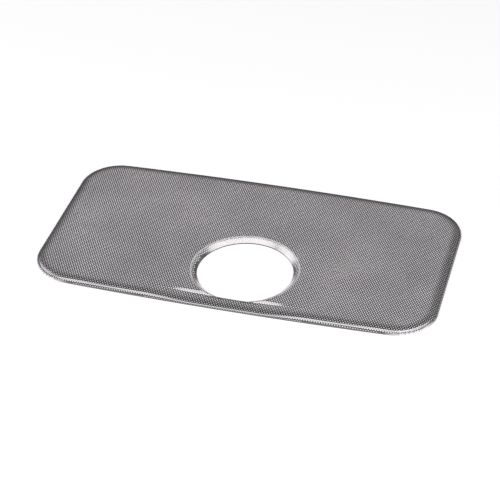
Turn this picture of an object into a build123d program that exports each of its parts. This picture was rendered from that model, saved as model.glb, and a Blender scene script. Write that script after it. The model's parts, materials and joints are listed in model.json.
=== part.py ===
"""Dishwasher flat filter, pressed in one piece from perforated stainless steel sheet.

A flat field carries a rim that is turned down all round, and the filter stands on that rim.
Near the front edge a round opening with a turned-down collar takes the removable filter cup.
In front of the opening a straight bar of the field is left, and the collar is folded up
against it.

The origin is the middle of the outline, on the plane that the rim stands on. +X runs along
the length, +Y from the opening towards the back, and +Z is up. Sizes are in millimetres.
"""

from build123d import *
from math import ceil, cos, radians, sin, tan
import os

# Sheet and outline
length = 405.0
width = 214.0
long_side_bow = 5.2
corner_radius = 41.0
sheet_thickness = 0.8
sheet_height = 5.5

# Rim, a soft bend that runs into a tight one and ends in a short upright lip
rim_soft_radius = 18.0
rim_soft_angle = 15.0
rim_radius = 4.0

# Opening and its collar, a bend that runs into a cone and stops short of the seat
opening_radius = 47.7
opening_x = 6.3
front_strip = 1.5
collar_radius = 5.0
collar_angle = 45.0
collar_clearance = 0.1

# Perforation: the real sheet has round 1.5 mm holes, 2.5 mm apart. Here six-sided ones, nearly
# ten times larger, stand for them in the same staggered rows, with about as much of the sheet open.
hole_pitch = 23.0
hole_across = 14.6
hole_margin = 0.6

# Places that follow from the sizes above
rim_inset = rim_soft_radius * sin(radians(rim_soft_angle)) + rim_radius * (
    1 - sin(radians(rim_soft_angle))
)
collar_edge_height = collar_clearance + sheet_thickness / cos(radians(collar_angle))
collar_bend_drop = collar_radius * (1 - cos(radians(collar_angle)))
collar_cone_drop = sheet_height - collar_bend_drop - collar_edge_height
collar_cone_run = collar_cone_drop / tan(radians(collar_angle))
collar_ring_radius = opening_radius + collar_cone_run + collar_radius * sin(radians(collar_angle))
opening_y = -width / 2 + rim_inset + front_strip + collar_ring_radius
fold_y = opening_y - opening_radius - sheet_thickness / 2
hole_corner_radius = hole_across / 2 / cos(radians(30))
land_inset = hole_corner_radius + hole_margin

up = Vector(0, 0, 1)
field_plane = Plane.XY.offset(sheet_height - sheet_thickness)
fold_back = Plane(origin=(0, fold_y, 0), z_dir=(0, 1, 0))
fold_front = Plane(origin=(0, fold_y - sheet_thickness, 0), z_dir=(0, 1, 0))
opening_axis = Axis((opening_x, opening_y, 0), up)
opening_section = Plane(origin=(opening_x, opening_y, 0), x_dir=(1, 0, 0), z_dir=(0, -1, 0))

# Outline: straight short sides, bowed long sides and round corners
with BuildLine() as outline:
    front = ThreePointArc(
        (-length / 2, long_side_bow - width / 2),
        (0, -width / 2),
        (length / 2, long_side_bow - width / 2),
    )
    right = Line(front @ 1, (length / 2, width / 2 - long_side_bow))
    back = ThreePointArc(right @ 1, (0, width / 2), (-length / 2, width / 2 - long_side_bow))
    Line(back @ 1, front @ 0)
    fillet(outline.vertices(), corner_radius)

rim_path = outline.wire()
rim_heading = rim_path % 0
rim_section = Plane(origin=rim_path @ 0, x_dir=rim_heading.cross(up), z_dir=-rim_heading)


def collar_underside():
    """Draw the lower side of the collar's bend, from the field towards the cone."""
    return JernArc(
        (collar_ring_radius, sheet_height - sheet_thickness),
        (-1, 0),
        collar_radius - sheet_thickness,
        collar_angle,
    )


# Rim: a soft bend, a tight one and a short upright lip, carried round the outline
with BuildPart() as rim:
    with BuildSketch(rim_section):
        with BuildLine():
            soft = JernArc((-rim_inset, sheet_height), (1, 0), rim_soft_radius, -rim_soft_angle)
            tight = JernArc(soft @ 1, soft % 1, rim_radius, rim_soft_angle - 90)
            Line(tight @ 1, (0, 0))
            offset(amount=sheet_thickness, side=Side.RIGHT)
        make_face()
    sweep(path=rim_path)

# Collar: a bend and a cone turned round the opening, cut off at the front fold
with BuildPart() as collar:
    with BuildSketch(opening_section):
        with BuildLine():
            top = JernArc((collar_ring_radius, sheet_height), (-1, 0), collar_radius, collar_angle)
            underside = collar_underside()
            Line(top @ 0, underside @ 0)
            Polyline(
                top @ 1,
                (opening_radius, collar_edge_height),
                (opening_radius, collar_clearance),
                underside @ 1,
            )
        make_face()
    revolve(axis=opening_axis)
    split(bisect_by=fold_back, keep=Keep.TOP)

# Fold: the upright web that closes the collar's cut edge up to the bar in front of it
with BuildPart() as fold:
    with BuildSketch(opening_section):
        with BuildLine():
            underside = collar_underside()
            Polyline(
                underside @ 0,
                (collar_ring_radius, sheet_height),
                (opening_radius, sheet_height),
                (opening_radius, collar_clearance),
                underside @ 1,
            )
        make_face()
    revolve(axis=opening_axis)
    split(bisect_by=fold_back, keep=Keep.BOTTOM)
    split(bisect_by=fold_front, keep=Keep.TOP)

# Places where a hole may be centred, clear of both bends
with BuildSketch() as hole_land:
    add(outline.line)
    make_face()
    offset(amount=-rim_inset - land_inset)
    with Locations((opening_x, opening_y)):
        Circle(collar_ring_radius + land_inset, mode=Mode.SUBTRACT)

hole_rows = HexLocations(
    hole_pitch / 2,
    x_count=ceil(width / hole_pitch / sin(radians(60))),
    y_count=ceil(length / hole_pitch),
)
along_length = Location((0, 0, 0), (0, 0, 90))
hole_places = [along_length * place for place in hole_rows]
hole_places = [
    place for place in hole_places if any(f.is_inside(place.position) for f in hole_land.faces())
]

# Field: the flat sheet between the bends, with the holes
with BuildPart() as filter_sheet:
    with BuildSketch(field_plane):
        add(outline.line)
        make_face()
        offset(amount=-rim_inset)
        with Locations(*hole_places):
            RegularPolygon(hole_corner_radius, 6, mode=Mode.SUBTRACT)
    extrude(amount=sheet_thickness)
    with BuildSketch(field_plane):
        with Locations((opening_x, opening_y)):
            Circle(collar_ring_radius)
        split(bisect_by=fold_back, keep=Keep.TOP)
    extrude(amount=sheet_thickness, mode=Mode.SUBTRACT)
    add(rim.part)
    add(collar.part)
    add(fold.part)

filter_sheet.part.label = "filter_sheet"
os.makedirs("parts", exist_ok=True)
export_step(filter_sheet.part, "parts/filter_sheet.step")
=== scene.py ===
"""Flat filter of a dishwasher: its perforated steel sheet, finish, stage and camera."""

import json
from math import cos, pi, radians, sin, sqrt

import bpy
import numpy as np
from bpy.props import (
    FloatProperty,
    FloatVectorProperty,
    IntProperty,
    PointerProperty,
)
from mathutils import Matrix, Vector
from mathutils.geometry import delaunay_2d_cdt


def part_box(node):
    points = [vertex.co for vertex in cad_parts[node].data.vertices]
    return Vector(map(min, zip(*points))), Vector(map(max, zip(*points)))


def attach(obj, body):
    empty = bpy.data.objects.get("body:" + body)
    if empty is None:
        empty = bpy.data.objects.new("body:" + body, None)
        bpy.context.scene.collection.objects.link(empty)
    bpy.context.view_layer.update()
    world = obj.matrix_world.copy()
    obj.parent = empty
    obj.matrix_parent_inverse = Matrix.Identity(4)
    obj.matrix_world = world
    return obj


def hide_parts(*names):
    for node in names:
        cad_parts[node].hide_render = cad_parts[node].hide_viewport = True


bl_info = {
    "name": "Perforated Flat Filter",
    "version": (1, 0, 0),
    "blender": (4, 5, 0),
    "location": "View3D > Sidebar > Flat Filter",
    "description": "Presses a perforated steel flat filter and sets a studio stage round it",
    "category": "Object",
}

BODY = "root"
NODE = "filter_sheet"
BAKE_MAP = "OFBake"
RIM = "rim"

FLOOR_REACH = 3.0
FLOOR_DROP = 0.00005
# Grey of the sky by the height of a direction, from 0 at the horizon to 1 overhead
SKY_SHADES = [(0.0, 0.09), (0.35, 0.09), (0.5, 0.22), (0.56, 0.22), (0.615, 0.04), (0.8, 0.04)]
# Soft boxes: name, azimuth and elevation in degrees, size in metres and power in watts
SOFT_BOXES = (
    ("front_box", -5, 58, (2.0, 1.15), 9.2),
    ("right_box", 80, 50, (1.2, 1.0), 4.7),
    ("left_box", -96, 37, (1.05, 0.75), 3.0),
)
SOFT_BOX_DISTANCE = 1.4

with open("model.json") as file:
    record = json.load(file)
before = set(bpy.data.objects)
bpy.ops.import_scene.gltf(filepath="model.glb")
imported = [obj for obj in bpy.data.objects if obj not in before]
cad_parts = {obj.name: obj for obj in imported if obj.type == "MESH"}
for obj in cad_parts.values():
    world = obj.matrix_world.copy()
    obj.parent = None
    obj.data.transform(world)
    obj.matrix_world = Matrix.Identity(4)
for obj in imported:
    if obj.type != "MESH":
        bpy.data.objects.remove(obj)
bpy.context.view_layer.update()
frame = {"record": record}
sheet_low, sheet_high = (np.array(corner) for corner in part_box(NODE))
opening_mount = next(
    mount for mount in frame["record"]["mounts"] if mount["name"] == "filter_cup_opening"
)


class SheetSettings(bpy.types.PropertyGroup):
    """Sizes of the pressed sheet and its perforation."""

    length: FloatProperty(
        name="Length",
        description="Length of the outline along X",
        default=float(sheet_high[0] - sheet_low[0]),
        unit="LENGTH",
        precision=5,
    )
    width: FloatProperty(
        name="Width",
        description="Width of the outline across the middle of the bowed long sides",
        default=float(sheet_high[1] - sheet_low[1]),
        unit="LENGTH",
        precision=5,
    )
    height: FloatProperty(
        name="Height",
        description="Height of the field's upper face over the rim's lower edge",
        default=float(sheet_high[2] - sheet_low[2]),
        unit="LENGTH",
        precision=5,
    )
    side_bow: FloatProperty(
        name="Long Side Bow",
        description="How far each long side bows out in its middle",
        default=0.0052,
        unit="LENGTH",
        precision=5,
    )
    corner_radius: FloatProperty(
        name="Corner Radius",
        description="Radius of the outline's corners",
        default=0.041,
        unit="LENGTH",
        precision=5,
    )
    thickness: FloatProperty(
        name="Thickness",
        description="Thickness of the sheet",
        default=0.0008,
        unit="LENGTH",
        precision=5,
    )
    rim_soft_radius: FloatProperty(
        name="Rim Soft Radius",
        description="Radius of the soft bend at the start of the rim",
        default=0.018,
        unit="LENGTH",
        precision=5,
    )
    rim_soft_angle: FloatProperty(
        name="Rim Soft Angle",
        description="Angle that the soft bend turns through",
        default=radians(15),
        subtype="ANGLE",
    )
    rim_radius: FloatProperty(
        name="Rim Radius",
        description="Radius of the tight bend that ends in the upright lip",
        default=0.004,
        unit="LENGTH",
        precision=5,
    )
    opening_radius: FloatProperty(
        name="Opening Radius",
        description="Clear radius inside the collar",
        default=opening_mount["dims"]["r_mm"] / 1000,
        unit="LENGTH",
        precision=5,
    )
    opening_centre: FloatVectorProperty(
        name="Opening Centre",
        description="Middle of the opening in the plan",
        default=opening_mount["pos_m"][:2],
        size=2,
        unit="LENGTH",
        precision=5,
    )
    collar_radius: FloatProperty(
        name="Collar Radius",
        description="Radius of the bend that leads into the collar's cone",
        default=0.005,
        unit="LENGTH",
        precision=5,
    )
    collar_angle: FloatProperty(
        name="Collar Angle",
        description="Slope of the collar's cone",
        default=radians(36),
        subtype="ANGLE",
    )
    collar_edge_height: FloatProperty(
        name="Collar Edge Height",
        description="Height of the collar's upper cut edge over the seat",
        default=0.0014,
        unit="LENGTH",
        precision=6,
    )
    bar_drop: FloatProperty(
        name="Bar Drop",
        description="How far the bar in front of the opening is pressed below the field",
        default=0.0022,
        unit="LENGTH",
        precision=5,
    )
    bar_slope_width: FloatProperty(
        name="Bar Slope Width",
        description="Width of the slope from the field down to the bar",
        default=0.0037,
        unit="LENGTH",
        precision=5,
    )
    bar_left: FloatVectorProperty(
        name="Bar Left Run-Out",
        description="Distances to the left of the opening's middle where the drop fades and ends",
        default=(0.034, 0.092),
        size=2,
        unit="LENGTH",
        precision=5,
    )
    bar_right: FloatVectorProperty(
        name="Bar Right Run-Out",
        description="Distances to the right of the opening's middle where the drop fades and ends",
        default=(0.030, 0.078),
        size=2,
        unit="LENGTH",
        precision=5,
    )
    hole_pitch: FloatProperty(
        name="Hole Pitch",
        description="Distance between neighbouring holes in the staggered rows",
        default=0.0025,
        unit="LENGTH",
        precision=5,
    )
    hole_diameter: FloatProperty(
        name="Hole Diameter",
        description="Diameter of the punched holes",
        default=0.0015,
        unit="LENGTH",
        precision=5,
    )
    hole_sides: IntProperty(
        name="Hole Sides",
        description="Number of sides that each punched hole is drawn with",
        default=8,
        min=6,
        max=12,
    )
    hole_margin: FloatProperty(
        name="Hole Margin",
        description="Least web left between a hole and the rim's cut edge",
        default=0.0005,
        unit="LENGTH",
        precision=5,
    )
    collar_margin: FloatProperty(
        name="Collar Margin",
        description="Least web left between a hole and the collar's cut edge",
        default=0.0018,
        unit="LENGTH",
        precision=5,
    )
    fold_margin: FloatProperty(
        name="Fold Margin",
        description="Least web left between a hole and the front fold",
        default=0.00015,
        unit="LENGTH",
        precision=5,
    )
    panel_split: FloatProperty(
        name="Panel Split",
        description="Distance from the middle at which the sheet is divided into panels",
        default=0.075,
        unit="LENGTH",
        precision=5,
    )


class FinishSettings(bpy.types.PropertyGroup):
    """Colours and gloss of the steel, with the painted shade and painted highlight laid on it."""

    steel_colour: FloatVectorProperty(
        name="Steel Colour",
        description="Base colour of the bright sheet",
        default=(0.6, 0.565, 0.597),
        subtype="COLOR",
        min=0.0,
        max=1.0,
    )
    steel_dark: FloatVectorProperty(
        name="Steel Shade",
        description="Colour of the sheet in its dull patches",
        default=(0.5, 0.468, 0.497),
        subtype="COLOR",
        min=0.0,
        max=1.0,
    )
    steel_roughness: FloatProperty(
        name="Steel Roughness",
        description="Mean roughness of the rolled face",
        default=0.24,
        subtype="FACTOR",
        min=0.0,
        max=1.0,
    )
    collar_colour: FloatVectorProperty(
        name="Collar Colour",
        description="Colour of the collar, burnished by the die",
        default=(0.76, 0.73, 0.75),
        subtype="COLOR",
        min=0.0,
        max=1.0,
    )
    # The same colour is laid as a painted highlight on the rim's lip near the two front corners;
    # only the line round the opening is rubbed.
    rubbed_line_and_highlight_colour: FloatVectorProperty(
        name="Rubbed Line and Highlight Colour",
        description="Colour of the line round the opening and the corners that are rubbed bright",
        default=(0.95, 0.92, 0.94),
        subtype="COLOR",
        min=0.0,
        max=1.0,
    )
    rubbed_roughness: FloatProperty(
        name="Rubbed Roughness",
        description="Roughness of the rubbed line",
        default=0.85,
        subtype="FACTOR",
        min=0.0,
        max=1.0,
    )
    # Painted shade: the rim's lip is darkened in this colour to stand in for shade.
    lip_shade_colour: FloatVectorProperty(
        name="Lip Shade Colour",
        description="Colour of the rim's lip, dulled by the drawing",
        default=(0.2, 0.19, 0.197),
        subtype="COLOR",
        min=0.0,
        max=1.0,
    )
    punched_colour: FloatVectorProperty(
        name="Punched Colour",
        description="Colour of the sheared hole walls",
        default=(0.86, 0.828, 0.856),
        subtype="COLOR",
        min=0.0,
        max=1.0,
    )
    punched_dark: FloatVectorProperty(
        name="Punched Shade",
        description="Darker colour of the sheared walls",
        default=(0.7, 0.672, 0.696),
        subtype="COLOR",
        min=0.0,
        max=1.0,
    )
    punched_roughness: FloatProperty(
        name="Punched Roughness",
        description="Mean roughness of the sheared walls",
        default=0.3,
        subtype="FACTOR",
        min=0.0,
        max=1.0,
    )
    # Painted shade: the walls of the holes in the rim are darkened in this colour to stand in for
    # the shade inside them.
    rim_hole_shade_colour: FloatVectorProperty(
        name="Rim Hole Shade Colour",
        description="Colour of the sheared walls of the holes in the rim",
        default=(0.2, 0.19, 0.197),
        subtype="COLOR",
        min=0.0,
        max=1.0,
    )
    # Painted shade: the cut edges of the outline and the opening are darkened in these colours to
    # stand in for the shadow on them.
    edge_shade_colour: FloatVectorProperty(
        name="Edge Shade Colour",
        description="Colour of the cut edges of the outline and the opening",
        default=(0.07, 0.066, 0.069),
        subtype="COLOR",
        min=0.0,
        max=1.0,
    )
    edge_deeper_shade: FloatVectorProperty(
        name="Edge Shade",
        description="Darker colour of the cut edges",
        default=(0.045, 0.042, 0.044),
        subtype="COLOR",
        min=0.0,
        max=1.0,
    )
    edge_roughness: FloatProperty(
        name="Edge Roughness",
        description="Mean roughness of the cut edges",
        default=0.5,
        subtype="FACTOR",
        min=0.0,
        max=1.0,
    )


class StageSettings(bpy.types.PropertyGroup):
    """Camera, floor and light of the studio stage."""

    camera_azimuth: FloatProperty(
        name="Camera Azimuth",
        description="Angle of the camera round the part, from the front towards +X",
        default=radians(15.911),
        subtype="ANGLE",
    )
    camera_elevation: FloatProperty(
        name="Camera Elevation",
        description="Angle of the camera over the floor",
        default=radians(36.525),
        subtype="ANGLE",
    )
    camera_roll: FloatProperty(
        name="Camera Roll",
        description="Turn of the camera about its own axis",
        default=radians(-0.891),
        subtype="ANGLE",
    )
    camera_distance: FloatProperty(
        name="Camera Distance",
        description="Distance from the camera to the point that it looks at",
        default=1.7773,
        unit="LENGTH",
    )
    camera_target: FloatVectorProperty(
        name="Camera Target",
        description="Point that the camera looks at",
        default=(0.00097, -0.00621, 0.0),
        subtype="XYZ",
        unit="LENGTH",
        precision=5,
    )
    camera_lens: FloatProperty(
        name="Camera Lens",
        description="Focal length in millimetres",
        default=127.534,
    )
    floor_colour: FloatVectorProperty(
        name="Floor Colour",
        description="Colour of the pale floor",
        default=(0.5, 0.5, 0.5),
        subtype="COLOR",
        min=0.0,
        max=1.0,
    )
    floor_glow: FloatProperty(
        name="Floor Glow",
        description="Lift of the floor towards white where it is seen",
        default=0.74,
        min=0.0,
        max=1.0,
    )


def bent_profile(run, bends):
    """Carry a distance `run` along a flat sheet round bends, each a (radius, end angle).

    The sheet is flat up to run 0. Each bend is an arc from the last angle to its own, so the
    sheet goes on by radius * (sin end - sin start) and drops by radius * (cos start - cos end).
    Past the last bend it is straight. Gives the distance along the flat and the drop below it.
    """
    along = np.minimum(run, 0.0)
    drop = np.zeros_like(run)
    used = 0.0
    angle = 0.0
    for radius, end in bends:
        part = np.clip(run - used, 0.0, radius * (end - angle))
        turned = angle + part / radius
        along = along + radius * (np.sin(turned) - sin(angle))
        drop = drop + radius * (cos(angle) - np.cos(turned))
        used += radius * (end - angle)
        angle = end
    rest = np.maximum(run - used, 0.0)
    return along + rest * cos(angle), drop + rest * sin(angle)


class PressedSheet:
    """The forming of the flat blank into the filter, from the sizes in SheetSettings."""

    def __init__(self, sizes):
        self.sizes = sizes
        self.half = np.array([sizes.length / 2, sizes.width / 2])
        self.middle = np.array(sizes.opening_centre)
        self.rim_bends = [(sizes.rim_soft_radius, sizes.rim_soft_angle), (sizes.rim_radius, pi / 2)]
        soft = sizes.rim_soft_radius * sin(sizes.rim_soft_angle)
        self.rim_inset = soft + sizes.rim_radius * (1 - sin(sizes.rim_soft_angle))
        soft_drop = sizes.rim_soft_radius * (1 - cos(sizes.rim_soft_angle))
        lip = sizes.height - soft_drop - sizes.rim_radius * cos(sizes.rim_soft_angle)
        soft_arc = sizes.rim_soft_radius * sizes.rim_soft_angle
        tight_arc = sizes.rim_radius * (pi / 2 - sizes.rim_soft_angle)
        self.rim_run = soft_arc + tight_arc + lip

        self.collar_bends = [(sizes.collar_radius, sizes.collar_angle)]
        bend_drop = sizes.collar_radius * (1 - cos(sizes.collar_angle))
        cone = (sizes.height - bend_drop - sizes.collar_edge_height) / sin(sizes.collar_angle)
        self.collar_run = sizes.collar_radius * sizes.collar_angle + cone
        bend_along = sizes.collar_radius * sin(sizes.collar_angle)
        self.ring_radius = sizes.opening_radius + bend_along + cone * cos(sizes.collar_angle)
        self.blank_radius = self.ring_radius - self.collar_run
        self.fold_y = self.middle[1] - sizes.opening_radius - sizes.thickness / 2

    def outline_distance(self, flat):
        """Signed distance outside the outline and the direction away from it.

        In one quadrant the outline is a straight end, a bowed side, which is an arc about a far
        centre on the Y axis, and a corner arc that touches both. The distance is taken to the
        corner arc past both of its ends, and otherwise to the nearer of end and side.
        """
        sizes = self.sizes
        quadrant = np.abs(flat)
        side_radius = (self.half[0] ** 2 + sizes.side_bow**2) / (2 * sizes.side_bow)
        side_centre = np.array([0.0, self.half[1] - side_radius])
        corner_x = self.half[0] - sizes.corner_radius
        corner_y = side_centre[1] + sqrt((side_radius - sizes.corner_radius) ** 2 - corner_x**2)
        corner = np.array([corner_x, corner_y])

        tiny = 1e-9
        from_side = quadrant - side_centre
        from_corner = quadrant - corner
        side_reach = np.hypot(*from_side.T)
        corner_reach = np.maximum(np.hypot(*from_corner.T), tiny)
        on_end = quadrant[:, 0] - self.half[0]
        on_side = side_reach - side_radius
        past_end = quadrant[:, 1] > corner[1]
        past_side = from_side[:, 0] * (corner - side_centre)[1] > from_side[:, 1] * corner[0]
        at_corner = past_end & past_side
        distance = np.where(
            at_corner, corner_reach - sizes.corner_radius, np.maximum(on_end, on_side)
        )
        away = np.where(
            (on_end > on_side)[:, None], np.array([1.0, 0.0]), from_side / side_reach[:, None]
        )
        away = np.where(at_corner[:, None], from_corner / corner_reach[:, None], away)
        return distance, away * np.where(flat < 0, -1.0, 1.0)

    def rim_share(self, flat):
        """Way of a point into the rim: 0 where the rim starts, 1 at the cut edge, -1 inside."""
        distance, _ = self.outline_distance(flat)
        return np.clip((distance + self.rim_inset) / self.rim_run, -1.0, 1.0)

    def pressed_bar(self, flat):
        """Drop of the bar in front of the opening: depth * run-out along X * slope along Y.

        The run-out is 1 in front of the opening and falls to 0 towards each side, the slope is 1
        on the bar and falls to 0 behind the fold. Both fall in a smooth step, 1 - t^2 (3 - 2 t).
        """
        sizes = self.sizes
        offset = flat[:, 0] - self.middle[0]
        left = np.array(sizes.bar_left)[:, None]
        right = np.array(sizes.bar_right)[:, None]
        start, end = np.where(offset < 0, left, right)
        fades = [
            (np.abs(offset) - start) / (end - start),
            (flat[:, 1] - self.fold_y) / sizes.bar_slope_width,
        ]
        drop = np.full(len(flat), sizes.bar_drop)
        for fade in fades:
            fade = np.clip(fade, 0.0, 1.0)
            drop = drop * (1 - fade**2 * (3 - 2 * fade))
        return drop

    def form(self, flat, behind):
        """Place of each point of the blank on the upper face of the pressed sheet.

        Past the rim's start the blank is carried round the rim's bends, square to the outline.
        Inside the ring round the opening it is carried round the collar's bend and cone, along
        the radius, but only behind the front fold. The pressed bar lowers what stands over the
        seat in proportion to its height, and the collar keeps its own depth where it is deeper.
        """
        distance, away = self.outline_distance(flat)
        run = distance + self.rim_inset
        along, rim_drop = bent_profile(run, self.rim_bends)
        plan = flat + away * (along - run)[:, None]

        arm = flat - self.middle
        reach = np.hypot(*arm.T)
        run = np.where(behind, self.ring_radius - reach, -1.0)
        along, collar_drop = bent_profile(run, self.collar_bends)
        plan = plan + arm / reach[:, None] * (run - along)[:, None]
        height = self.sizes.height
        level = (height - rim_drop) * (1 - self.pressed_bar(flat) / height)
        return np.column_stack([plan, np.minimum(level, height - collar_drop)])

    def facing(self, flat, behind):
        """Unit normal of the upper face: the cross product of its slopes along X and Y."""
        step = 2e-5
        slopes = [
            self.form(flat + shift, behind) - self.form(flat - shift, behind)
            for shift in (np.array([step, 0.0]), np.array([0.0, step]))
        ]
        normal = np.cross(*slopes)
        return normal / np.linalg.norm(normal, axis=1)[:, None]

    def edge_points(self, spacing):
        """Cut edge of the blank: the outline moved out by the rim's run past the outline.

        The points of a squarish oval, a circle's cosine and sine to a power below 1, are pulled
        onto the edge by their distance from it, and then set at even steps along its length.
        """
        rays, power, pulls = 4000, 0.4, 30
        turn = np.linspace(0, 2 * pi, rays, endpoint=False)
        guess = np.column_stack([np.cos(turn), np.sin(turn)])
        guess = np.sign(guess) * np.abs(guess) ** power * self.half
        for _ in range(pulls):
            distance, away = self.outline_distance(guess)
            guess = guess - away * (distance - (self.rim_run - self.rim_inset))[:, None]
        steps = np.hypot(*(np.roll(guess, -1, axis=0) - guess).T)
        travelled = np.concatenate([[0.0], np.cumsum(steps)])
        count = int(travelled[-1] / spacing)
        stops = np.linspace(0, travelled[-1], count, endpoint=False)
        closed = np.vstack([guess, guess[:1]])
        return np.column_stack([np.interp(stops, travelled, closed[:, axis]) for axis in (0, 1)])

    def ring_points(self, spacing):
        """Cut edge of the opening in the blank: a circle of evenly spaced points."""
        count = int(2 * pi * self.blank_radius / spacing)
        turn = np.linspace(0, 2 * pi, count, endpoint=False)
        return self.middle + self.blank_radius * np.column_stack([np.cos(turn), np.sin(turn)])

    def fold_points(self, spacing):
        """Straight front fold: the chord of the ring round the opening that the bar cuts off."""
        half_chord = sqrt(self.ring_radius**2 - (self.middle[1] - self.fold_y) ** 2)
        ends = self.middle[0] + np.array([-half_chord, half_chord])
        count = int(2 * half_chord / spacing)
        along = np.linspace(*ends, count)
        return np.column_stack([along, np.full(count, self.fold_y)])

    def hole_centres(self):
        """Centres of the holes: rows along X, each shifted by half a pitch from the next.

        The rows lie a pitch times the root of 3/4 apart. A hole is kept where it clears the
        blank's two cut edges and the front fold.
        """
        sizes = self.sizes
        hole_radius = sizes.hole_diameter / 2
        row_gap = sqrt(0.75)
        past_outline = 1.2
        rows = int(self.half[1] * past_outline / (sizes.hole_pitch * row_gap))
        columns = int(self.half[0] * past_outline / sizes.hole_pitch)
        row, column = np.meshgrid(np.arange(-rows, rows + 1), np.arange(-columns, columns + 1))
        x = (column + 0.5 * (row % 2)) * sizes.hole_pitch
        centres = np.column_stack([x.ravel(), row.ravel() * sizes.hole_pitch * row_gap])
        distance, _ = self.outline_distance(centres)
        arm = centres - self.middle
        fold_gap = np.abs(centres[:, 1] - self.fold_y)
        beside_fold = np.abs(arm[:, 0]) < self.ring_radius
        keep = distance < self.rim_run - self.rim_inset - hole_radius - sizes.hole_margin
        keep &= np.hypot(*arm.T) > self.blank_radius + hole_radius + sizes.collar_margin
        keep &= ~(beside_fold & (fold_gap < hole_radius + sizes.fold_margin))
        return centres[keep]


def loop_edges(first, count):
    """Index pairs that join `count` points from `first` on into a closed loop."""
    index = np.arange(count)
    return np.column_stack([first + index, first + (index + 1) % count])


class Blank:
    """The flat perforated blank: its points, their groups and the triangles between them.

    Points that bound one emptied area share a group: each hole, the opening, and the slit
    between the two sides of the front fold. Triangles inside one group are left out. A hole's
    corners lie on the circle that gives its polygon the area of the round hole.

    `cut` marks the points on the cut edges of the outline and the opening, `behind` those behind
    the front fold, and `wall_points` is where a wall's lower edge lies on the bake map.
    """

    def __init__(self, pressed):
        hole_draw_in, ring_draw_in = 0.45, 0.01
        sizes = pressed.sizes
        centres = pressed.hole_centres()
        sides = sizes.hole_sides
        turn = (np.arange(sides) + 0.5) * 2 * pi / sides
        reach = sizes.hole_diameter / 2 * sqrt(2 * pi / sides / sin(2 * pi / sides))
        corner = np.column_stack([np.cos(turn), np.sin(turn)]) * reach
        holes = (centres[:, None] + corner).reshape(-1, 2)
        wall_shift = np.tile(-hole_draw_in * corner, (len(centres), 1))
        edge = pressed.edge_points(sizes.hole_pitch)
        ring = pressed.ring_points(sizes.hole_pitch / 2)
        bar_side = pressed.fold_points(sizes.hole_pitch / 2)
        slit = 0.00004
        field_side = bar_side + np.array([0.0, slit])

        blocks = [holes, edge, ring, bar_side, field_side]
        starts = np.cumsum([0] + [len(block) for block in blocks])
        self.points = np.vstack(blocks)
        self.ring = np.arange(starts[2], starts[3])
        self.bar_side = np.arange(starts[3], starts[4])
        self.field_side = np.arange(starts[4], starts[5])

        hole_start = np.arange(len(centres))[:, None] * sides
        index = np.arange(sides)
        hole_edges = np.stack([hole_start + index, hole_start + (index + 1) % sides], axis=2)
        runs = [np.column_stack([line[:-1], line[1:]]) for line in (self.bar_side, self.field_side)]
        edges = np.vstack(
            [
                hole_edges.reshape(-1, 2),
                loop_edges(starts[1], len(edge)),
                loop_edges(starts[2], len(ring)),
                *runs,
            ]
        )

        self.cut = np.zeros(len(self.points), dtype=bool)
        self.cut[starts[1] : starts[3]] = True
        group = np.full(len(self.points), -1)
        group[: starts[1]] = np.repeat(np.arange(len(centres)), sides)
        group[starts[2] : starts[3]] = len(centres)
        group[starts[3] :] = len(centres) + 1

        self.behind = self.points[:, 1] > pressed.fold_y + slit / 2
        self.wall_points = self.points.copy()
        self.wall_points[: starts[1]] += wall_shift
        _, away = pressed.outline_distance(edge)
        self.wall_points[starts[1] : starts[2]] += away * sizes.thickness
        self.wall_points[starts[2] : starts[3]] += (pressed.middle - ring) * ring_draw_in

        points_mm = self.points * 1000
        hull_triangles, nearness = 0, 1e-6
        found = delaunay_2d_cdt(
            points_mm.tolist(), edges.tolist(), [], hull_triangles, nearness, False
        )
        if len(found[0]) != len(self.points):
            raise RuntimeError("The holes of the blank cross each other or a cut edge.")
        triangles = np.array(found[2])
        groups = group[triangles]
        same = (groups[:, 0] == groups[:, 1]) & (groups[:, 1] == groups[:, 2])
        self.triangles = triangles[~(same & (groups[:, 0] >= 0))]


def boundary_edges(triangles, count):
    """Directed edges of the triangles that no neighbour shares, with the sheet on their left."""
    edges = np.vstack([triangles[:, [0, 1]], triangles[:, [1, 2]], triangles[:, [2, 0]]])
    ahead = edges[:, 0] * count + edges[:, 1]
    back = edges[:, 1] * count + edges[:, 0]
    return edges[~np.isin(ahead, back)]


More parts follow.
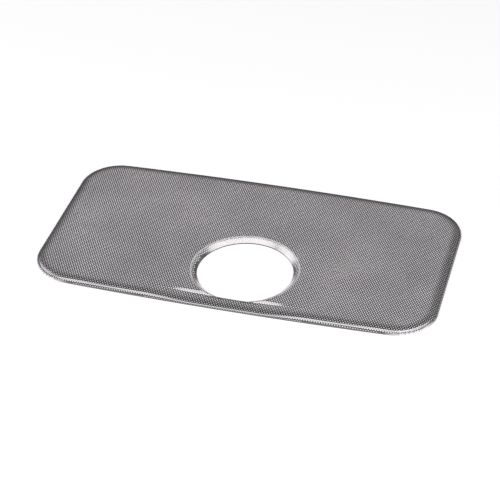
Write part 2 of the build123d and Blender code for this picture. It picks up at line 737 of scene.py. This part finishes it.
def sheet_panel(name, pressed, blank, triangles, materials):
    """Close the blank's triangles into a sheet of even thickness and make it an object.

    The upper face is the formed blank, the lower one lies a thickness under it along the
    normal, and a wall joins the two along every free edge. The collar's cut edge is upright. At
    the front fold the two faces are joined by an upright web, a thickness deep under the bar.
    """
    count = len(blank.points)
    upper = pressed.form(blank.points, blank.behind)
    normal = pressed.facing(blank.points, blank.behind)
    thickness = pressed.sizes.thickness
    lower = upper - normal * thickness
    lower[blank.bar_side, 1] -= thickness
    lower[blank.ring] = upper[blank.ring]
    lower[blank.ring, 2] -= thickness / cos(pressed.sizes.collar_angle)
    places = np.vstack([upper, lower])

    edges = boundary_edges(triangles, count)
    on_fold = np.zeros(count, dtype=bool)
    on_fold[blank.bar_side] = True
    on_fold[blank.field_side] = True
    edges = edges[~(on_fold[edges[:, 0]] & on_fold[edges[:, 1]])]
    walls = np.column_stack([edges + count, edges[:, ::-1]])

    has_fold = np.isin(blank.bar_side[0], triangles)
    bar, field = (blank.bar_side, blank.field_side) if has_fold else (np.zeros(1, int),) * 2
    web = np.column_stack([bar[:-1], bar[1:], field[1:], field[:-1]])
    web = np.vstack([web, (web + count)[:, ::-1]])
    quads = np.vstack([walls, web])

    corners = np.concatenate(
        [triangles.ravel(), (triangles[:, ::-1] + count).ravel(), quads.ravel()]
    )
    sizes = np.concatenate([np.full(2 * len(triangles), 3), np.full(len(quads), 4)])
    used, corners = np.unique(corners, return_inverse=True)

    mesh = bpy.data.meshes.new(name)
    mesh.vertices.add(len(used))
    mesh.vertices.foreach_set("co", places[used].ravel())
    mesh.loops.add(len(corners))
    mesh.loops.foreach_set("vertex_index", corners)
    mesh.polygons.add(len(sizes))
    mesh.polygons.foreach_set("loop_start", np.concatenate([[0], np.cumsum(sizes)[:-1]]))
    slot = np.zeros(len(sizes), dtype=np.int32)
    # Hole walls take the punched steel, and walls along the cut edges the third material, painted
    # dark as shade.
    slot[2 * len(triangles) : 2 * len(triangles) + len(walls)] = 1 + blank.cut[edges].all(axis=1)
    for material in materials:
        mesh.materials.append(material)
    mesh.polygons.foreach_set("material_index", slot)
    mesh.update(calc_edges=True)
    rim = mesh.attributes.new(RIM, "FLOAT", "POINT")
    rim.data.foreach_set("value", pressed.rim_share(blank.points)[used % count])

    flat_normals = np.empty(len(sizes) * 3)
    mesh.polygons.foreach_get("normal", flat_normals)
    loop_normals = np.repeat(flat_normals.reshape(-1, 3), sizes, axis=0)
    faces = 3 * len(triangles)
    loop_normals[:faces] = normal[triangles.ravel()]
    loop_normals[faces : 2 * faces] = -normal[triangles[:, ::-1].ravel()]
    mesh.polygons.foreach_set("use_smooth", np.ones(len(sizes), dtype=bool))
    mesh.normals_split_custom_set(loop_normals)

    add_bake_map(mesh, blank, triangles, walls, web)
    piece = bpy.data.objects.new(name, mesh)
    bpy.context.collection.objects.link(piece)
    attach(piece, BODY)
    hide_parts(NODE)


def add_bake_map(mesh, blank, triangles, walls, web):
    """Lay the panel out flat: the upper face below, the lower face above it.

    A hole's wall fills a ring inside its hole, because its lower edge is drawn in towards the
    middle, and a wall along a cut edge lies just outside it. The map is scaled to fit 0 to 1.
    """
    margin = 0.002
    used = blank.points[np.unique(triangles)]
    low = used.min(axis=0) - margin
    span = used.max(axis=0) + margin - low
    lifted = np.array([0.0, span[1]])
    wall_flat = np.vstack([blank.points, blank.wall_points])
    web_flat = np.vstack([blank.points, blank.points + lifted])
    flat = np.vstack(
        [
            blank.points[triangles.ravel()],
            blank.points[triangles[:, ::-1].ravel()] + lifted,
            wall_flat[walls.ravel()],
            web_flat[web.ravel()],
        ]
    )
    scale = max(span[0], 2 * span[1])
    mesh.uv_layers.new(name=BAKE_MAP).data.foreach_set("uv", ((flat - low) / scale).ravel())


class Nodes:
    """Adds nodes to a tree and links them in one line each."""

    def __init__(self, tree):
        self.tree = tree
        tree.nodes.clear()

    def add(self, kind, links=None, **values):
        """Add a node with its properties, and link each input or set its value."""
        node = self.tree.nodes.new(kind)
        for key, value in values.items():
            setattr(node, key, value)
        for socket, source in (links or {}).items():
            if isinstance(source, bpy.types.NodeSocket):
                self.tree.links.new(source, node.inputs[socket])
            else:
                node.inputs[socket].default_value = source
        return node

    def ramp(self, factor, stops):
        """Grey that runs straight between `stops`, each a (position, level) from 0 to 1."""
        node = self.add("ShaderNodeValToRGB", {0: factor})
        elements = node.color_ramp.elements
        while len(elements) < len(stops):
            elements.new(0.5)
        for element, (position, level) in zip(elements, stops):
            element.position = position
            element.color = (level, level, level, 1.0)
        return node.outputs["Color"]

    def mask(self, factor, stops):
        """Ramp whose positions are in the factor's own measure, first stretched to 0 to 1."""
        low, high = stops[0][0], stops[-1][0]
        share = self.add(
            "ShaderNodeMapRange", {"Value": factor, "From Min": low, "From Max": high}
        ).outputs["Result"]
        return self.ramp(share, [((place - low) / (high - low), level) for place, level in stops])

    def distance(self, x, y, centre):
        """Distance in the plan from the point x, y to `centre`."""
        flat = self.add("ShaderNodeCombineXYZ", {"X": x, "Y": y}).outputs[0]
        return self.add(
            "ShaderNodeVectorMath", {0: flat, 1: (*centre, 0.0)}, operation="DISTANCE"
        ).outputs["Value"]

    def math(self, operation, *terms):
        """Result of an operation on sockets or numbers."""
        return self.add("ShaderNodeMath", dict(enumerate(terms)), operation=operation).outputs[0]


def rolled_grain_group():
    """Node group of rolled steel: cloudy dullness, fine rolling lines along X and stray scratches.

    Colour mixes two shades by the clouds, Roughness is a mean plus clouds and lines, and Height
    is the sum of lines and scratches for a bump.
    """
    group = bpy.data.node_groups.new("rolled_grain", "ShaderNodeTree")
    for name, kind in (
        ("Bright", "NodeSocketColor"),
        ("Dull", "NodeSocketColor"),
        ("Roughness", "NodeSocketFloat"),
        ("Spread", "NodeSocketFloat"),
    ):
        group.interface.new_socket(name, in_out="INPUT", socket_type=kind)
    for name, kind in (
        ("Colour", "NodeSocketColor"),
        ("Roughness", "NodeSocketFloat"),
        ("Height", "NodeSocketFloat"),
    ):
        group.interface.new_socket(name, in_out="OUTPUT", socket_type=kind)
    nodes = Nodes(group)
    inputs = nodes.add("NodeGroupInput").outputs
    place = nodes.add("ShaderNodeTexCoord").outputs["Object"]
    clouds = nodes.add(
        "ShaderNodeTexNoise", {"Vector": place, "Scale": 14.0, "Detail": 4.0, "Roughness": 0.55}
    ).outputs["Fac"]
    drawn = nodes.add("ShaderNodeMapping", {"Vector": place, "Scale": (40.0, 2600.0, 400.0)})
    lines = nodes.add(
        "ShaderNodeTexNoise", {"Vector": drawn.outputs[0], "Scale": 1.0, "Detail": 3.0}
    ).outputs["Fac"]
    turned = nodes.add(
        "ShaderNodeMapping",
        {"Vector": place, "Rotation": (0.0, 0.0, radians(34)), "Scale": (18.0, 420.0, 60.0)},
    )
    stray = nodes.add(
        "ShaderNodeTexNoise", {"Vector": turned.outputs[0], "Scale": 1.0, "Detail": 2.0}
    ).outputs["Fac"]
    scratches = nodes.ramp(stray, [(0.70, 0), (0.74, 1)])
    shade = nodes.ramp(clouds, [(0.35, 0), (0.65, 1)])
    colour = nodes.add(
        "ShaderNodeMix",
        {0: shade, 6: inputs["Dull"], 7: inputs["Bright"]},
        data_type="RGBA",
    ).outputs[2]
    cloudy, lined = (nodes.math("SUBTRACT", noise, 0.5) for noise in (clouds, lines))
    uneven = nodes.math("ADD", cloudy, lined)
    roughness = nodes.math("MULTIPLY_ADD", uneven, inputs["Spread"], inputs["Roughness"])
    scratch_depth = -0.6
    height = nodes.math("MULTIPLY_ADD", scratches, scratch_depth, lines)
    nodes.add("NodeGroupOutput", {"Colour": colour, "Roughness": roughness, "Height": height})
    return group


def press_marks_group(sizes, fold_y):
    """Node group of the marks of pressing and use, and of painted shade and highlight, as masks.

    Burnished Collar is a disc round the opening's middle, and Rubbed Line a band at its edge,
    both behind the front fold. The next two are steps of the sheet's own rim attribute: the rim,
    whose hole walls take a painted shade, and the rim's lip, which takes a painted shade. The last
    is the lip near the two front corners, where a painted highlight goes. The stops of the masks
    are metres from a middle, or shares of the way into the rim.
    """
    collar_disc = [(0.0526, 1), (0.0547, 0)]
    line_band = [(0.0526, 0), (0.0531, 1), (0.0541, 1), (0.0547, 0)]
    rim_step = [(-0.3, 0), (0.25, 1)]
    lip_step = [(0.6, 0), (0.76, 1)]
    # Middle and stops of the painted highlight on the lip near each front corner.
    corner_highlight_middle = (0.186, -0.095)
    corner_highlight_spot = [(0.012, 1), (0.030, 0)]

    group = bpy.data.node_groups.new("press_marks", "ShaderNodeTree")
    names = ("Burnished Collar", "Rubbed Line", "Rim Hole Shade", "Shaded Lip", "Painted Corner Highlight")
    for name in names:
        group.interface.new_socket(name, in_out="OUTPUT", socket_type="NodeSocketFloat")
    nodes = Nodes(group)
    place = nodes.add("ShaderNodeTexCoord").outputs["Object"]
    axes = nodes.add("ShaderNodeSeparateXYZ", {0: place}).outputs
    reach = nodes.distance(axes["X"], axes["Y"], sizes.opening_centre)
    behind = nodes.math("GREATER_THAN", axes["Y"], fold_y)
    collar = nodes.math("MULTIPLY", behind, nodes.mask(reach, collar_disc))
    line = nodes.math("MULTIPLY", behind, nodes.mask(reach, line_band))
    rim = nodes.add("ShaderNodeAttribute", attribute_name=RIM).outputs["Fac"]
    # Mask of the painted shade on the walls of the holes in the rim.
    turned = nodes.mask(rim, rim_step)
    # Mask of the painted shade on the rim's lip.
    lip = nodes.mask(rim, lip_step)
    aside = nodes.math("ABSOLUTE", axes["X"])
    spread = nodes.distance(aside, axes["Y"], corner_highlight_middle)
    # Mask of the painted highlight on the lip near the two front corners.
    corner = nodes.math("MULTIPLY", lip, nodes.mask(spread, corner_highlight_spot))
    nodes.add("NodeGroupOutput", dict(zip(names, (collar, line, turned, lip, corner))))
    return group


def steel_material(name, grain, bright, dull, roughness, spread, bump, marks=None, shades=()):
    """Metal whose colour, roughness and bump come from the rolled grain group.

    `shades` lays colours, and a roughness where one is given, over the grain, each through the
    mask of its name from the group `marks`. Among these colours are painted shade and a painted
    highlight.
    """
    material = bpy.data.materials.new(name)
    material.use_nodes = True
    nodes = Nodes(material.node_tree)
    group = nodes.add("ShaderNodeGroup", node_tree=grain)
    group.inputs["Bright"].default_value = (*bright, 1.0)
    group.inputs["Dull"].default_value = (*dull, 1.0)
    group.inputs["Roughness"].default_value = roughness
    group.inputs["Spread"].default_value = spread
    height = nodes.add(
        "ShaderNodeBump",
        {"Height": group.outputs["Height"], "Strength": bump, "Distance": 0.00002},
    )
    colour, gloss = group.outputs["Colour"], group.outputs["Roughness"]
    masks = nodes.add("ShaderNodeGroup", node_tree=marks).outputs if marks else {}
    for mark, shade, dullness in shades:
        colour = nodes.add(
            "ShaderNodeMix", {0: masks[mark], 6: colour, 7: (*shade, 1.0)}, data_type="RGBA"
        ).outputs[2]
        if dullness is not None:
            gloss = nodes.add(
                "ShaderNodeMix", {0: masks[mark], 2: gloss, 3: dullness}, data_type="FLOAT"
            ).outputs[0]
    shader = nodes.add(
        "ShaderNodeBsdfPrincipled",
        {
            "Base Color": colour,
            "Roughness": gloss,
            "Normal": height.outputs[0],
            "Metallic": 1.0,
        },
    )
    nodes.add("ShaderNodeOutputMaterial", {"Surface": shader.outputs[0]})
    return material


class FILTER_OT_press_sheet(bpy.types.Operator):
    """Press the perforated sheet in three panels"""

    bl_idname = "flat_filter.press_sheet"
    bl_label = "Press Perforated Sheet"
    bl_options = {"REGISTER", "UNDO"}

    def execute(self, context):
        sizes = context.scene.filter_sheet_sizes
        finish = context.scene.filter_finish
        grain = rolled_grain_group()
        pressed = PressedSheet(sizes)
        marks = press_marks_group(sizes, pressed.fold_y)
        materials = [
            steel_material(
                "bright_rolled_steel",
                grain,
                finish.steel_colour,
                finish.steel_dark,
                finish.steel_roughness,
                spread=0.16,
                bump=0.25,
                marks=marks,
                shades=[
                    ("Burnished Collar", finish.collar_colour, None),
                    ("Rubbed Line", finish.rubbed_line_and_highlight_colour, finish.rubbed_roughness),
                    # Painted shade on the rim's lip.
                    ("Shaded Lip", finish.lip_shade_colour, None),
                    # Painted highlight on the lip near the two front corners.
                    ("Painted Corner Highlight", finish.rubbed_line_and_highlight_colour, None),
                ],
            ),
            steel_material(
                "punched_steel",
                grain,
                finish.punched_colour,
                finish.punched_dark,
                finish.punched_roughness,
                spread=0.2,
                bump=0.4,
                marks=marks,
                # Painted shade on the walls of the holes in the rim.
                shades=[("Rim Hole Shade", finish.rim_hole_shade_colour, None)],
            ),
            # The cut edges are painted dark as shade.
            steel_material(
                "shaded_cut_edge_steel",
                grain,
                finish.edge_shade_colour,
                finish.edge_deeper_shade,
                finish.edge_roughness,
                spread=0.2,
                bump=0.4,
            ),
        ]
        blank = Blank(pressed)
        middle = blank.points[blank.triangles, 0].mean(axis=1)
        panel = np.digitize(middle, [-sizes.panel_split, sizes.panel_split])
        for index, name in enumerate(("sheet_left", "sheet_middle", "sheet_right")):
            sheet_panel(name, pressed, blank, blank.triangles[panel == index], materials)
        return {"FINISHED"}


def floor_material(colour, glow):
    """Pale floor: a diffuse face that keeps the shadow, lifted to white for the rays that see it.

    The lift is an emission for camera, glossy and transmission rays only, so it puts no light on
    the part.
    """
    material = bpy.data.materials.new("pale_floor")
    material.use_nodes = True
    nodes = Nodes(material.node_tree)
    rays = nodes.add("ShaderNodeLightPath").outputs
    seen = nodes.math("MAXIMUM", rays["Is Camera Ray"], rays["Is Glossy Ray"])
    seen = nodes.math("MAXIMUM", seen, rays["Is Transmission Ray"])
    face = nodes.add("ShaderNodeBsdfDiffuse", {"Color": (*colour, 1.0)})
    lift = nodes.add(
        "ShaderNodeEmission",
        {"Color": (1.0, 1.0, 1.0, 1.0), "Strength": nodes.math("MULTIPLY", seen, glow)},
    )
    both = nodes.add("ShaderNodeAddShader", {0: face.outputs[0], 1: lift.outputs[0]})
    nodes.add("ShaderNodeOutputMaterial", {"Surface": both.outputs[0]})
    return material


def direction(azimuth, elevation):
    """Unit vector at an azimuth from the front, -Y, towards +X and an elevation over the floor."""
    level = cos(elevation)
    return Vector((sin(azimuth) * level, -cos(azimuth) * level, sin(elevation)))


def softbox(name, target, away, size, energy):
    """Rectangular area lamp that stands off `target` in the direction `away` and faces it."""
    lamp = bpy.data.lights.new(name, "AREA")
    lamp.shape = "RECTANGLE"
    lamp.size, lamp.size_y = size
    lamp.energy = energy
    holder = bpy.data.objects.new(name, lamp)
    bpy.context.collection.objects.link(holder)
    holder.location = Vector(target) + away * SOFT_BOX_DISTANCE
    holder.rotation_euler = away.to_track_quat("Z", "Y").to_euler()


class FILTER_OT_set_stage(bpy.types.Operator):
    """Set the floor, the light and the camera round the filter"""

    bl_idname = "flat_filter.set_stage"
    bl_label = "Set Studio Stage"
    bl_options = {"REGISTER", "UNDO"}

    def execute(self, context):
        stage = context.scene.filter_stage
        self.set_camera(context, stage)
        self.set_floor(context, stage)
        self.set_light(context, stage)
        return {"FINISHED"}

    def set_camera(self, context, stage):
        azimuth = stage.camera_azimuth
        back = direction(azimuth, stage.camera_elevation)
        right = Vector((cos(azimuth), sin(azimuth), 0.0))
        up = back.cross(right)
        turn = Matrix((right, up, back)).transposed() @ Matrix.Rotation(stage.camera_roll, 3, "Z")
        camera = bpy.data.cameras.new("photo_camera")
        camera.lens = stage.camera_lens
        camera.sensor_width = 36.0
        camera.clip_end = 50.0
        holder = bpy.data.objects.new("photo_camera", camera)
        context.collection.objects.link(holder)
        place = Vector(stage.camera_target) + back * stage.camera_distance
        holder.matrix_world = Matrix.Translation(place) @ turn.to_4x4()
        context.scene.camera = holder

    def set_floor(self, context, stage):
        mesh = bpy.data.meshes.new("floor")
        reach = FLOOR_REACH
        mesh.from_pydata(
            [(-reach, -reach, 0), (reach, -reach, 0), (reach, reach, 0), (-reach, reach, 0)],
            [],
            [(0, 1, 2, 3)],
        )
        mesh.materials.append(floor_material(stage.floor_colour, stage.floor_glow))
        floor = bpy.data.objects.new("floor", mesh)
        floor.location.z = -FLOOR_DROP
        context.collection.objects.link(floor)

    def set_light(self, context, stage):
        world = bpy.data.worlds.new("studio")
        world.use_nodes = True
        nodes = Nodes(world.node_tree)
        toward = nodes.add("ShaderNodeTexCoord").outputs["Generated"]
        height = nodes.add("ShaderNodeSeparateXYZ", {0: toward}).outputs["Z"]
        glow = nodes.ramp(height, SKY_SHADES)
        sky = nodes.add("ShaderNodeBackground", {"Color": glow, "Strength": 1.0})
        nodes.add("ShaderNodeOutputWorld", {"Surface": sky.outputs[0]})
        context.scene.world = world
        for name, azimuth, elevation, size, energy in SOFT_BOXES:
            away = direction(radians(azimuth), radians(elevation))
            softbox(name, stage.camera_target, away, size, energy)
        context.scene.view_settings.view_transform = "Standard"


class FILTER_PT_sidebar(bpy.types.Panel):
    """Sidebar panel with the steps and their sizes"""

    bl_idname = "FILTER_PT_sidebar"
    bl_label = "Flat Filter"
    bl_space_type = "VIEW_3D"
    bl_region_type = "UI"
    bl_category = "Flat Filter"

    def draw(self, context):
        scene = context.scene
        for operator, settings in (
            (FILTER_OT_press_sheet, (scene.filter_sheet_sizes, scene.filter_finish)),
            (FILTER_OT_set_stage, (scene.filter_stage,)),
        ):
            box = self.layout.box()
            box.operator(operator.bl_idname)
            for group in settings:
                for name in group.bl_rna.properties.keys():
                    if name not in {"rna_type", "name"}:
                        box.prop(group, name)


CLASSES = (
    SheetSettings,
    FinishSettings,
    StageSettings,
    FILTER_OT_press_sheet,
    FILTER_OT_set_stage,
    FILTER_PT_sidebar,
)


def register():
    for cls in CLASSES:
        bpy.utils.register_class(cls)
    bpy.types.Scene.filter_sheet_sizes = PointerProperty(type=SheetSettings)
    bpy.types.Scene.filter_finish = PointerProperty(type=FinishSettings)
    bpy.types.Scene.filter_stage = PointerProperty(type=StageSettings)


def unregister():
    del bpy.types.Scene.filter_stage
    del bpy.types.Scene.filter_finish
    del bpy.types.Scene.filter_sheet_sizes
    for cls in reversed(CLASSES):
        bpy.utils.unregister_class(cls)


def main():
    register()
    bpy.ops.flat_filter.press_sheet()
    bpy.ops.flat_filter.set_stage()


if __name__ == "__main__":
    main()
